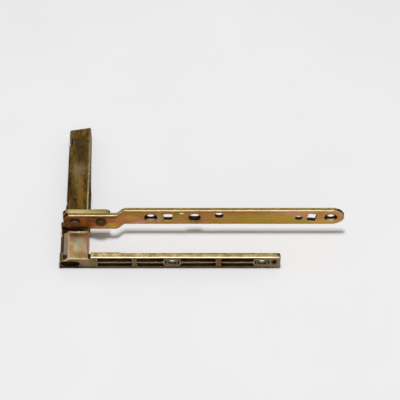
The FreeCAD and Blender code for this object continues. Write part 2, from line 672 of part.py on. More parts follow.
os.makedirs("parts", exist_ok=True)
save("frame_rail", make_rail())
save("bearing_saddle", make_saddle())
save("pivot_pin", make_pin())
save("thrust_washer", make_washer())
save("barrel_bush", make_bush())
save("pin_clip", make_clip())
save("hinge_plate", make_plate())
save("sash_arm", make_arm())
save("inner_rivet", make_rivet(INNER_RIVET_X, INNER_HEAD_HEIGHT))
save("outer_rivet", make_rivet(OUTER_RIVET_X, OUTER_HEAD_HEIGHT))
save("sash_post", make_post())
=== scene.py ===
import math

import bpy
from mathutils import Euler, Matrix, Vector


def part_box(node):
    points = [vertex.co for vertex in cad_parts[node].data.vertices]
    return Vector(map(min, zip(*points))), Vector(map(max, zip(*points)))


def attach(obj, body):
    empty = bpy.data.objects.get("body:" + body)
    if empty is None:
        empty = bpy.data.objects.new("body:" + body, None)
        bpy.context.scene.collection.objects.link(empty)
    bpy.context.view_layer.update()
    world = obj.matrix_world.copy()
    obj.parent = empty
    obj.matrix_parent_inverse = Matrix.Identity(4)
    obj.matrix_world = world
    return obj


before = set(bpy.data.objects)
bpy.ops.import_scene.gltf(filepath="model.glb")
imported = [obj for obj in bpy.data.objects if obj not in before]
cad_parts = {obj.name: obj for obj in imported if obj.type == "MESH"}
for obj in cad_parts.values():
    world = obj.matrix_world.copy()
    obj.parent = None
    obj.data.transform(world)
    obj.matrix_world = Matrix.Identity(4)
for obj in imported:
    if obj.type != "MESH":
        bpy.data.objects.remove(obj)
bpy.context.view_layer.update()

bl_info = {
    "name": "Window Corner Hinge Looks",
    "version": (1, 0, 0),
    "blender": (4, 5, 0),
    "location": "3D View > Sidebar > Corner Hinge",
    "description": "Finishes a window corner hinge in plated steel and zinc casting, and lights it",
    "category": "Object",
}

MM = 0.001

# Noise: the range that nearly all its values fall in, scales to the metre and shifts in metres

NOISE_RANGE = (0.3, 0.7)
EDGE_NOISE = 260.0
SHADE_AND_GRIME_NOISE = 180.0
PATCH_NOISE = 380.0
ROUNDING_NOISE = 300.0
FLOOR_NOISE = 9.0
WAVE_SCALE = 140.0
ROSE_SHIFT = (0.31, 0.17, 0.05)
GREEN_SHIFT = (-0.42, 0.11, 0.23)
WAVE_SHIFT = (0.2, 0.1, 0.4)
GLOSS_SHIFT = (-0.3, 0.2, 0.1)

# Ranges over which a mask goes from nothing to all, and how far noise weakens or strengthens it

ROSE_RANGE = (0.45, 0.68)
GREEN_RANGE = (0.47, 0.66)
EDGE_SWING = (0.55, 1.25)
SHADE_AND_GRIME_SWING = (0.7, 1.2)
UPWARD_RANGE = (0.6, 0.9)
WALL_RANGE = (0.45, 0.7)
ROUNDING_RANGE = (0.35, 0.8)
ROUNDING_BREAKS = (0.3, 0.6)
ROUNDING_SWING = (0.55, 1.0)

# Settings that all finishes share, with the height of the grain in millimetres

SHADE_SAMPLES = 6
GRAIN_HEIGHT = 0.4
WAVE_SHARE = 0.6
SPECULAR_LEVEL = 0.25
EDGE_TINT = (0.45, 0.36, 0.26, 1.0)
DIRT_DULLS = 0.3
DIRT_COVERS = 0.3
# Painted shade: darkening towards the foot and on hole and pocket walls.
FOOT_SHADE = 0.75
WALL_SHADE_AND_DIRT = 0.9
TOP_PATCH_GAIN = 1.6
TOP_MOTTLE_GAIN = 1.5

# Heights in millimetres between which hole and pocket walls get painted shade and film, and the X
# from which the front roundings get a painted highlight

STRIP_WALLS = (13.5, 30.0)
CASTING_WALLS = (0.3, 13.4)
STRIP_HIGHLIGHT_FROM = -94.0
CASTING_HIGHLIGHT_FROM = -76.5

# Sinks of the strip's screw holes, in millimetres

STRIP_SINKS = ((-35.0, -26.6, 21.9), (89.0, -26.6, 21.9))
SINK_REACH = (4.75, 2.5, 4.75)
SINK_RIM = {"Inner": 0.9, "Outer": 1.02, "Ragged": 0.04}

# Depths and heights of the faces that most patches lie on, in millimetres

JOGGLE = 4.0
LEFT_END_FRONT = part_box("sash_arm")[0][1] / MM
STRIP_FRONT = LEFT_END_FRONT + JOGGLE
STRIP_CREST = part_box("sash_arm")[1][2] / MM
RAIL_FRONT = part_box("frame_rail")[0][1] / MM

# Stains lie under the worn and highlit edges and the film, and marks lie over both. Each row
# gives a colour setting, a centre and a reach in millimetres, and a strength. The strip's rows
# also dress the plate behind its left end.

STRIP_STAINS = (
    # Painted shade: the strip's dark left end and the band under its top edge.
    ("strip_painted_shade", (-84.0, LEFT_END_FRONT, 24.0), (17.0, 3.0, 10.0), 0.85),
    ("strip_painted_shade", (-66.0, LEFT_END_FRONT, 29.0), (16.0, 3.0, 2.6), 0.7),
    ("strip_painted_shade", (0.0, STRIP_FRONT, 30.2), (120.0, 1.5, 1.6), 0.55),
    # The film row below darkens the shaded gap under the plate's left end: painted shade.
    ("grime_and_shade", (-94.5, -29.5, 7.0), (6.5, 4.0, 11.0), 0.9),
    ("grime_and_shade", (-4.7, -26.6, 19.0), (5.2, 1.2, 4.6), 0.4),
    ("strip_top", (98.0, -25.2, 26.0), (3.5, 3.0, 6.0), 0.8),
    ("strip_yellow", (-61.6, LEFT_END_FRONT, 18.5), (4.0, 3.0, 3.5), 0.8),
    ("strip_yellow", (-48.5, STRIP_FRONT, 22.0), (5.5, 3.0, 3.0), 0.7),
    ("strip_pink", (-42.5, STRIP_FRONT, 16.0), (5.0, 3.0, 2.5), 0.7),
    ("strip_pink", (-29.5, STRIP_FRONT, 23.0), (2.2, 3.0, 8.0), 0.6),
    ("strip_green", (-14.0, STRIP_FRONT, 27.5), (8.0, 3.0, 3.0), 0.8),
    ("strip_pink", (60.0, STRIP_FRONT, 28.0), (18.0, 3.0, 4.0), 0.45),
    ("strip_green", (61.0, STRIP_FRONT, 18.0), (24.0, 3.0, 4.5), 0.8),
    ("strip_yellow", (30.0, STRIP_FRONT, 21.0), (24.0, 3.0, 6.0), 0.35),
    ("strip_green", (34.0, STRIP_FRONT, 19.0), (22.0, 3.0, 6.0), 0.6),
    ("strip_yellow", (84.0, STRIP_FRONT, 17.0), (12.0, 3.0, 3.0), 0.5),
    ("strip_yellow", (48.0, -25.2, 21.0), (26.0, 3.0, 6.0), 0.45),
)

STRIP_MARKS = (
    ("plate_top", (-82.0, -26.6, STRIP_CREST), (19.0, 2.2, 1.2), 0.6),
    ("lip", (-84.0, -27.3, STRIP_CREST), (8.0, 0.9, 1.2), 0.45),
    ("strip_green", (-72.0, -26.2, STRIP_CREST), (6.0, 1.6, 1.2), 0.5),
    ("cast_top_dark", (-65.0, -26.4, STRIP_CREST), (3.5, 2.0, 1.2), 0.7),
    # Painted shade on the strip's right end.
    ("strip_painted_shade", (97.6, -23.9, 22.5), (1.8, 3.0, 8.0), 0.6),
    # Painted shade line along the strip's top rear edge.
    ("cast_painted_shade", (22.0, -22.8, STRIP_CREST), (80.0, 0.8, 0.9), 0.75),
)

SADDLE_STAINS = (
    ("saddle_grey", (-93.5, -43.0, 12.0), (2.6, 14.0, 3.0), 0.8),
    ("saddle_green", (-85.5, -44.0, 14.0), (3.5, 9.0, 3.0), 0.7),
    ("saddle_mint", (-83.9, -39.6, 14.0), (2.8, 2.6, 3.0), 0.9),
    ("saddle_mint", (-86.2, -46.0, 14.0), (1.5, 3.5, 3.0), 0.6),
    ("saddle_orange", (-89.6, -46.5, 14.0), (1.8, 4.5, 3.0), 0.8),
    ("saddle_orange", (-88.0, -50.0, 13.6), (3.4, 1.8, 3.0), 0.6),
    ("saddle_gold", (-82.5, -51.6, 13.6), (6.5, 3.4, 3.0), 0.9),
    ("saddle_orange", (-86.0, -36.2, 14.0), (6.0, 1.0, 3.0), 0.6),
)

SADDLE_MARKS = (
    ("lip", (-91.3, -43.0, 13.6), (0.55, 12.0, 1.5), 0.7),
)

# Painted shade along both sides of the post from the film rows, and a painted highlight along its right bend
# from the rim and edge rows.
POST_STAINS = (
    ("post_gold", (-84.6, -3.0, 13.0), (2.6, 17.0, 3.0), 0.85),
    ("post_gold", (-88.5, 26.0, 13.0), (1.8, 12.0, 3.0), 0.45),
    ("grime_and_shade", (-94.0, 10.0, 12.5), (1.4, 46.0, 3.0), 0.8),
    ("post_rose", (-84.5, 35.0, 13.0), (6.0, 13.0, 3.0), 0.6),
    ("post_pale", (-86.5, 18.5, 13.0), (6.0, 5.5, 3.0), 0.6),
    ("post_rim_highlight", (-78.6, 36.0, 12.6), (1.5, 26.0, 2.0), 0.9),
    ("edge_wear_and_highlight", (-79.3, -6.0, 12.9), (0.5, 26.0, 0.9), 0.5),
    ("grime_and_shade", (-77.5, 12.0, 11.0), (0.9, 70.0, 6.0), 0.9),
)

CASTING_STAINS = (
    ("cast_red", (24.0, -52.0, 8.5), (14.0, 4.0, 4.0), 0.6),
    ("cast_red", (10.0, -52.0, 8.5), (10.0, 4.0, 4.0), 0.4),
    ("cast_cheek", (-97.0, -42.0, 8.0), (3.0, 18.0, 9.0), 0.9),
    ("cast_top_olive", (20.0, -51.6, 14.5), (50.0, 1.0, 1.5), 0.6),
    ("cast_top_dark", (-97.0, -52.5, 13.0), (3.4, 4.0, 5.0), 0.9),
    ("cast_base", (-97.2, -52.0, 13.0), (5.0, 6.0, 6.0), 0.9),
)

CASTING_MARKS = (
    # Painted shade: the film rows darken the top's rear edge, the left pocket, the boss holes and the band
    # under the top edge; the casting shade rows darken the end corners and the foot.
    ("grime_and_shade", (10.0, -50.4, 14.4), (66.0, 1.0, 1.0), 0.85),
    ("cast_painted_shade", (-96.5, -53.6, 13.2), (3.6, 1.6, 2.4), 0.9),
    ("cast_painted_shade", (53.0, -51.6, 14.0), (2.2, 2.0, 1.8), 0.8),
    ("cast_base", (-97.0, -42.0, 11.0), (1.8, 13.0, 7.0), 0.8),
    ("grime_and_shade", (-90.2, RAIL_FRONT, 4.6), (8.8, 2.0, 4.6), 0.95),
    ("cast_boss", (51.0, RAIL_FRONT, 8.0), (4.5, 2.0, 8.0), 0.6),
    ("cast_boss", (-80.0, RAIL_FRONT, 8.0), (5.5, 2.0, 6.0), 0.45),
    ("cast_boss", (-20.2, RAIL_FRONT, 7.8), (6.6, 2.0, 5.6), 0.7),
    ("grime_and_shade", (-20.2, RAIL_FRONT, 7.8), (4.4, 1.2, 3.7), 0.85),
    ("cast_boss", (41.6, RAIL_FRONT, 7.8), (6.6, 2.0, 5.6), 0.7),
    ("grime_and_shade", (41.6, RAIL_FRONT, 7.8), (4.4, 1.2, 3.7), 0.85),
    ("grime_and_shade", (50.0, RAIL_FRONT, 8.6), (2.2, 2.0, 4.2), 0.95),
    ("cast_painted_shade", (-16.0, RAIL_FRONT, 0.6), (55.0, 1.2, 1.8), 0.8),
    ("grime_and_shade", (-14.0, RAIL_FRONT, 12.5), (52.0, 0.9, 0.9), 0.55),
    ("cast_red", (22.0, RAIL_FRONT, 10.0), (11.0, 1.2, 1.3), 0.75),
    ("cast_red", (16.0, RAIL_FRONT, 3.4), (9.0, 1.2, 1.2), 0.6),
)

# Ragged lip of the saddle, in millimetres and degrees

LIP_SIZE = (12.8, 1.3, 0.42)
LIP_PLACE = (-85.0, -33.52, 14.0)
LIP_LEAN = 14.0
LIP_CUTS = 18
LIP_RAGGED = 0.16
LIP_SEED = 5
LIP_SMOOTH = 40.0

# Floor, surroundings, and how far the camera sees in metres

FLOOR_TONES = (0.97, 1.0)
FLOOR_ROUGHNESS = 0.7
FLOOR_SPECULAR = 0.2
CAMERA_REACH = 20.0
WORLD_TINT = (1.06, 0.98, 0.86)

# Lamps: name, place in metres, turn in degrees, size in metres and power setting

LAMPS = (
    ("top_light", (0.0, -0.06, 1.5), (0.0, 0.0, 0.0), 0.22, "key_power"),
    ("front_light", (0.1, -1.35, 0.85), (58.0, 0.0, 0.0), 0.8, "front_power"),
    ("side_light", (1.5, 0.9, 0.4), (78.0, 0.0, 121.0), 0.9, "side_power"),
    ("back_light", (0.0, 1.0, 1.6), (-32.0, 0.0, 0.0), 2.0, "back_power"),
)
KEY_NAME = "top_light"
KEY_COLOUR = (0.975, 1.0, 1.045)
PLAIN_WHITE = (1.0, 1.0, 1.0)


# Shader node helpers


def feed(tree, socket, value):
    """Link an output to a socket, or set the socket to a plain value."""
    if isinstance(value, bpy.types.NodeSocket):
        tree.links.new(value, socket)
    else:
        socket.default_value = value


def add_node(tree, kind, values, **settings):
    """Add a node, set its plain settings and then its inputs by name or number."""
    node = tree.nodes.new(kind)
    for key, value in settings.items():
        setattr(node, key, value)
    for key, value in values.items():
        feed(tree, node.inputs[key], value)
    return node


def math_value(tree, operation, first, second=0.0, third=0.0, clamp=False):
    """Result of one Math node, whose third value only MULTIPLY_ADD takes."""
    node = add_node(tree, "ShaderNodeMath", {0: first, 1: second, 2: third},
                    operation=operation, use_clamp=clamp)
    return node.outputs[0]


def remap(tree, value, low, high, new_low=0.0, new_high=1.0):
    """A value's range from low to high spread over a new range."""
    node = add_node(tree, "ShaderNodeMapRange", {
        "Value": value, "From Min": low, "From Max": high, "To Min": new_low, "To Max": new_high})
    return node.outputs["Result"]


def mix_colour(tree, factor, first, second):
    """Two colours mixed by a factor: a Mix node's sockets 6 and 7 are its colours."""
    node = add_node(tree, "ShaderNodeMix", {"Factor": factor, 6: first, 7: second}, data_type="RGBA")
    return node.outputs[2]


def noise(tree, vector, scale, detail=3.0, roughness=0.55, distortion=0.0):
    """Factor of one noise texture."""
    node = add_node(tree, "ShaderNodeTexNoise", {
        "Vector": vector, "Scale": scale, "Detail": detail,
        "Roughness": roughness, "Distortion": distortion})
    return node.outputs["Fac"]


def shifted(tree, vector, shift, stretch=(1.0, 1.0, 1.0)):
    """Coordinates moved and stretched, so that patterns differ."""
    node = add_node(tree, "ShaderNodeMapping", {"Vector": vector, "Location": shift, "Scale": stretch})
    return node.outputs["Vector"]


def axis_value(tree, coordinates, axis):
    """One axis of the coordinates."""
    return add_node(tree, "ShaderNodeSeparateXYZ", {0: coordinates}).outputs[axis]


def in_metres(values):
    """A place or reach in millimetres as the shaders take it."""
    return [value * MM for value in values]


def new_group(name, inputs, outputs):
    """Shader node group with named sockets; returns its tree, input node and output node."""
    tree = bpy.data.node_groups.new(name, "ShaderNodeTree")
    for socket_name, socket_type, default in inputs:
        socket = tree.interface.new_socket(socket_name, in_out="INPUT", socket_type=socket_type)
        if default is not None:
            socket.default_value = default
    for socket_name, socket_type in outputs:
        tree.interface.new_socket(socket_name, in_out="OUTPUT", socket_type=socket_type)
    return tree, tree.nodes.new("NodeGroupInput"), tree.nodes.new("NodeGroupOutput")


def group_node(tree, name, values):
    """Place a node group in a material."""
    node = tree.nodes.new("ShaderNodeGroup")
    node.node_tree = bpy.data.node_groups[name]
    for key, value in values.items():
        feed(tree, node.inputs[key], value)
    return node


# Effects that several finishes share

PLATING = "Plating tint"
EDGE = "Edge wear"
RECESS_SHADE_AND_GRIME = "Recess grime"
GRAIN = "Surface grain"
PATCH = "Tint patch"


def make_plating_group():
    """Three passivation tones that drift into each other in soft patches."""
    tree, group_in, group_out = new_group(PLATING, [
        ("Coordinates", "NodeSocketVector", None),
        ("Base", "NodeSocketColor", (0.4, 0.2, 0.1, 1.0)),
        ("Rose", "NodeSocketColor", (0.5, 0.2, 0.2, 1.0)),
        ("Green", "NodeSocketColor", (0.3, 0.3, 0.1, 1.0)),
        ("Patch Scale", "NodeSocketFloat", 60.0),
        ("Mottle Scale", "NodeSocketFloat", 400.0),
        ("Mottle", "NodeSocketFloat", 0.2),
    ], [("Color", "NodeSocketColor")])
    where = group_in.outputs["Coordinates"]
    scale = group_in.outputs["Patch Scale"]
    rose_patch = noise(tree, shifted(tree, where, ROSE_SHIFT), scale, 2.0, 0.5, 0.6)
    green_patch = noise(tree, shifted(tree, where, GREEN_SHIFT), scale, 2.0, 0.5, 0.8)
    mottle = noise(tree, where, group_in.outputs["Mottle Scale"], 4.0, 0.65)
    colour = mix_colour(tree, remap(tree, rose_patch, *ROSE_RANGE),
                        group_in.outputs["Base"], group_in.outputs["Rose"])
    colour = mix_colour(tree, remap(tree, green_patch, *GREEN_RANGE), colour, group_in.outputs["Green"])
    swing = math_value(tree, "MULTIPLY", math_value(tree, "SUBTRACT", mottle, 0.5),
                       group_in.outputs["Mottle"])
    factor = math_value(tree, "MULTIPLY_ADD", swing, 2.0, 1.0)
    bright = add_node(tree, "ShaderNodeVectorMath", {0: colour, "Scale": factor}, operation="SCALE")
    tree.links.new(bright.outputs[0], group_out.inputs["Color"])


def make_edge_group():
    """Mask of worn edges and painted edge highlights: where a rounded normal leaves the true one."""
    tree, group_in, group_out = new_group(EDGE, [
        ("Coordinates", "NodeSocketVector", None),
        ("Radius", "NodeSocketFloat", 0.0006),
        ("Amount", "NodeSocketFloat", 4.0),
    ], [("Mask", "NodeSocketFloat"), ("Normal", "NodeSocketVector")])
    bevel = add_node(tree, "ShaderNodeBevel", {"Radius": group_in.outputs["Radius"]},
                     samples=SHADE_SAMPLES)
    geometry = tree.nodes.new("ShaderNodeNewGeometry")
    dot = add_node(tree, "ShaderNodeVectorMath", {
        0: bevel.outputs["Normal"], 1: geometry.outputs["True Normal"]}, operation="DOT_PRODUCT")
    bend = math_value(tree, "SUBTRACT", 1.0, dot.outputs["Value"])
    broken = noise(tree, group_in.outputs["Coordinates"], EDGE_NOISE, 3.0)
    patchy = remap(tree, broken, *NOISE_RANGE, *EDGE_SWING)
    gain = math_value(tree, "MULTIPLY", group_in.outputs["Amount"], patchy)
    tree.links.new(math_value(tree, "MULTIPLY", bend, gain, clamp=True), group_out.inputs["Mask"])
    tree.links.new(bevel.outputs["Normal"], group_out.inputs["Normal"])


def make_shade_and_grime_group():
    """Mask of painted shade and dark film in corners and pockets."""
    tree, group_in, group_out = new_group(RECESS_SHADE_AND_GRIME, [
        ("Coordinates", "NodeSocketVector", None),
        ("Reach", "NodeSocketFloat", 0.004),
        ("Amount", "NodeSocketFloat", 1.0),
    ], [("Mask", "NodeSocketFloat")])
    shade = add_node(tree, "ShaderNodeAmbientOcclusion", {"Distance": group_in.outputs["Reach"]},
                     samples=SHADE_SAMPLES)
    closed = math_value(tree, "SUBTRACT", 1.0, shade.outputs["AO"])
    broken = noise(tree, group_in.outputs["Coordinates"], SHADE_AND_GRIME_NOISE, 4.0)
    patchy = remap(tree, broken, *NOISE_RANGE, *SHADE_AND_GRIME_SWING)
    gain = math_value(tree, "MULTIPLY", group_in.outputs["Amount"], patchy)
    tree.links.new(math_value(tree, "MULTIPLY", closed, gain, clamp=True), group_out.inputs["Mask"])


def make_grain_group():
    """Fine height of a rolled or cast surface, and a slow swing for its gloss."""
    tree, group_in, group_out = new_group(GRAIN, [
        ("Coordinates", "NodeSocketVector", None),
        ("Grain Scale", "NodeSocketFloat", 2500.0),
        ("Wave Scale", "NodeSocketFloat", 120.0),
        ("Wave Share", "NodeSocketFloat", 0.5),
    ], [("Height", "NodeSocketFloat"), ("Gloss", "NodeSocketFloat")])
    where = group_in.outputs["Coordinates"]
    grain = noise(tree, where, group_in.outputs["Grain Scale"], 2.0)
    wave = noise(tree, shifted(tree, where, WAVE_SHIFT), group_in.outputs["Wave Scale"], 2.0)
    share = math_value(tree, "MULTIPLY", wave, group_in.outputs["Wave Share"])
    tree.links.new(math_value(tree, "ADD", grain, share), group_out.inputs["Height"])
    gloss = noise(tree, shifted(tree, where, GLOSS_SHIFT), group_in.outputs["Wave Scale"], 3.0)
    tree.links.new(gloss, group_out.inputs["Gloss"])


def make_patch_group():
    """Mask of one ragged patch round a place of its own."""
    tree, group_in, group_out = new_group(PATCH, [
        ("Coordinates", "NodeSocketVector", None),
        ("Centre", "NodeSocketVector", (0.0, 0.0, 0.0)),
        ("Reach", "NodeSocketVector", (0.005, 0.005, 0.005)),
        ("Strength", "NodeSocketFloat", 1.0),
        ("Inner", "NodeSocketFloat", 0.5),
        ("Outer", "NodeSocketFloat", 1.2),
        ("Ragged", "NodeSocketFloat", 0.4),
    ], [("Mask", "NodeSocketFloat")])
    where = group_in.outputs["Coordinates"]
    offset = add_node(tree, "ShaderNodeVectorMath", {
        0: where, 1: group_in.outputs["Centre"]}, operation="SUBTRACT").outputs[0]
    share = add_node(tree, "ShaderNodeVectorMath", {
        0: offset, 1: group_in.outputs["Reach"]}, operation="DIVIDE").outputs[0]
    length = add_node(tree, "ShaderNodeVectorMath", {0: share}, operation="LENGTH").outputs["Value"]
    swing = remap(tree, noise(tree, where, PATCH_NOISE, 4.0, 0.65), *NOISE_RANGE, -1.0, 1.0)
    ragged = math_value(tree, "MULTIPLY", swing, group_in.outputs["Ragged"])
    reached = math_value(tree, "ADD", length, ragged)
    near = remap(tree, reached, group_in.outputs["Outer"], group_in.outputs["Inner"])
    strength = group_in.outputs["Strength"]
    tree.links.new(math_value(tree, "MULTIPLY", near, strength, clamp=True), group_out.inputs["Mask"])


def facing(tree):
    """Parts of the surface's own normal along Y and Z."""
    normal = tree.nodes.new("ShaderNodeTexCoord").outputs["Normal"]
    parts = add_node(tree, "ShaderNodeSeparateXYZ", {0: normal})
    return parts.outputs["Y"], parts.outputs["Z"]


def upward(tree):
    """Mask of the faces that look up while the hinge lies on the floor, which take a painted lit tone."""
    return remap(tree, facing(tree)[1], *UPWARD_RANGE)


def rounded_front(tree, coordinates, start):
    """Mask of the painted highlight on the roundings between a front and the face above it, right of a start
    in millimetres.
    """
    along_y, along_z = facing(tree)
    bend = math_value(tree, "MULTIPLY", math_value(tree, "MULTIPLY", along_y, -2.0), along_z)
    broken = noise(tree, coordinates, ROUNDING_NOISE, 3.0, 0.7)
    patchy = remap(tree, broken, *ROUNDING_BREAKS, *ROUNDING_SWING)
    inside = remap(tree, axis_value(tree, coordinates, "X"), (start - 1.0) * MM, start * MM)
    patchy = math_value(tree, "MULTIPLY", patchy, inside)
    return math_value(tree, "MULTIPLY", remap(tree, bend, *ROUNDING_RANGE), patchy)


def wall_mask(tree, coordinates, low, high):
    """Mask of painted shade and dark film on hole and pocket walls: faces along Y between two heights in
    millimetres.
    """
    wall = remap(tree, math_value(tree, "ABSOLUTE", facing(tree)[0]), *WALL_RANGE, WALL_SHADE_AND_DIRT, 0.0)
    height = axis_value(tree, coordinates, "Z")
    above = math_value(tree, "GREATER_THAN", height, low * MM)
    below = math_value(tree, "LESS_THAN", height, high * MM)
    return math_value(tree, "MULTIPLY", wall, math_value(tree, "MULTIPLY", above, below))


def tone_of(look, name):
    """A colour setting as a shader colour."""
    return (*getattr(look, name), 1.0)


def plating(tree, look, where, tones, patch, mottle_scale, mottle):
    """Colour of the plating in three tones, given as colour settings."""
    base, rose, green = (tone_of(look, name) for name in tones)
    return group_node(tree, PLATING, {
        "Coordinates": where, "Base": base, "Rose": rose, "Green": green, "Patch Scale": patch,
        "Mottle Scale": mottle_scale, "Mottle": mottle}).outputs["Color"]


def paint(tree, look, colour, coordinates, rows):
    """A colour with the patches of a table laid over it."""
    for name, centre, reach, strength in rows:
        spot = group_node(tree, PATCH, {
            "Coordinates": coordinates, "Centre": in_metres(centre), "Reach": in_metres(reach),
            "Strength": strength})
        colour = mix_colour(tree, spot.outputs["Mask"], colour, tone_of(look, name))
    return colour


def dirt_and_shade_mask(tree, coordinates, grime_and_shade, reach, foot, walls, sinks):
    """Mask of dark film and painted shade in corners, painted shade near the foot and on hole walls, and
    darkening in screw sinks.
    """
    dirt_and_shade = group_node(tree, RECESS_SHADE_AND_GRIME, {
        "Coordinates": coordinates, "Reach": reach * MM, "Amount": grime_and_shade}).outputs["Mask"]
    if foot:
        low = remap(tree, axis_value(tree, coordinates, "Z"), foot * MM, 0.0, 0.0, FOOT_SHADE)
        dirt_and_shade = math_value(tree, "MAXIMUM", dirt_and_shade, low)
    if walls:
        dirt_and_shade = math_value(tree, "MAXIMUM", dirt_and_shade, wall_mask(tree, coordinates, *walls))
    for centre in sinks:
        sink = group_node(tree, PATCH, {
            "Coordinates": coordinates, "Centre": in_metres(centre), "Reach": in_metres(SINK_REACH),
            "Strength": 1.0, **SINK_RIM})
        dirt_and_shade = math_value(tree, "MAXIMUM", dirt_and_shade, sink.outputs["Mask"])
    return dirt_and_shade


def metal_material(name, look, tones, edge_name="edge_wear_and_highlight", patch=60.0, mottle_scale=420.0, mottle=0.25,
                   lit_top_tones=None, top_mottle=0.8, stains=(), marks=(), wear_and_highlight=5.0, highlight_from=None,
                   grime_and_shade=0.9, grime_reach=4.0, foot=0.0, walls=None, sinks=(),
                   roughness=(0.3, 0.45), grain=2600.0, bump=0.06, stretch=(1.0, 1.0, 1.0)):
    """Plated metal: tones with a painted lit tone on tops, placed stains and painted shade, worn edges with
    painted highlights, film and painted shade in corners, and a fine grain.
    """
    material = bpy.data.materials.new(name)
    material.use_nodes = True
    tree = material.node_tree
    shader = tree.nodes["Principled BSDF"]
    coordinates = tree.nodes.new("ShaderNodeTexCoord").outputs["Object"]
    where = shifted(tree, coordinates, (0.0, 0.0, 0.0), stretch)
    edge_and_highlight_tone = tone_of(look, edge_name)
    edge = group_node(tree, EDGE, {
        "Coordinates": coordinates, "Radius": look.edge_width * MM, "Amount": wear_and_highlight})
    surface = group_node(tree, GRAIN, {
        "Coordinates": where, "Grain Scale": grain, "Wave Scale": WAVE_SCALE, "Wave Share": WAVE_SHARE})
    dirt_and_shade = dirt_and_shade_mask(tree, coordinates, grime_and_shade, grime_reach, foot, walls, sinks)

    colour = plating(tree, look, where, tones, patch, mottle_scale, mottle)
    # Upward faces take their own tones: a painted lit tone for how the light falls on the tops.
    if lit_top_tones:
        top = plating(tree, look, where, lit_top_tones, patch * TOP_PATCH_GAIN,
                      mottle_scale * TOP_MOTTLE_GAIN, top_mottle)
        colour = mix_colour(tree, upward(tree), colour, top)
    colour = paint(tree, look, colour, coordinates, stains)
    # Painted shade and film: corners, the foot, hole walls and screw sinks take the dark film colour.
    colour = mix_colour(tree, dirt_and_shade, colour, tone_of(look, "grime_and_shade"))
    # Painted highlight along the front roundings.
    if highlight_from is not None:
        colour = mix_colour(tree, rounded_front(tree, coordinates, highlight_from), colour, edge_and_highlight_tone)
    clean = math_value(tree, "SUBTRACT", 1.0, dirt_and_shade, clamp=True)
    # Painted edge highlights together with worn edges, kept off the filmed and shaded places.
    rubbed_and_highlit = math_value(tree, "MULTIPLY", edge.outputs["Mask"], clean)
    colour = mix_colour(tree, rubbed_and_highlit, colour, edge_and_highlight_tone)
    colour = paint(tree, look, colour, coordinates, marks)

    gloss = remap(tree, surface.outputs["Gloss"], *NOISE_RANGE, *roughness)
    dull = math_value(tree, "MULTIPLY_ADD", dirt_and_shade, DIRT_DULLS, gloss)
    bare = math_value(tree, "MULTIPLY_ADD", dirt_and_shade, -DIRT_COVERS, 1.0)
    relief = add_node(tree, "ShaderNodeBump", {
        "Height": surface.outputs["Height"], "Normal": edge.outputs["Normal"],
        "Strength": bump, "Distance": GRAIN_HEIGHT * MM})
    tree.links.new(colour, shader.inputs["Base Color"])
    tree.links.new(dull, shader.inputs["Roughness"])
    tree.links.new(bare, shader.inputs["Metallic"])
    tree.links.new(relief.outputs["Normal"], shader.inputs["Normal"])
    shader.inputs["Specular IOR Level"].default_value = SPECULAR_LEVEL
    shader.inputs["Specular Tint"].default_value = EDGE_TINT
    return material


def dress(node_name, material):
    """Give a CAD node its material."""
    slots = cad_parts[node_name].data.materials
    slots.clear()
    slots.append(material)


def colour_property(name, description, default):
    """Colour setting of a finish."""
    return bpy.props.FloatVectorProperty(name=name, description=description, default=default,
                                         subtype="COLOR", size=3, min=0.0, max=1.0)


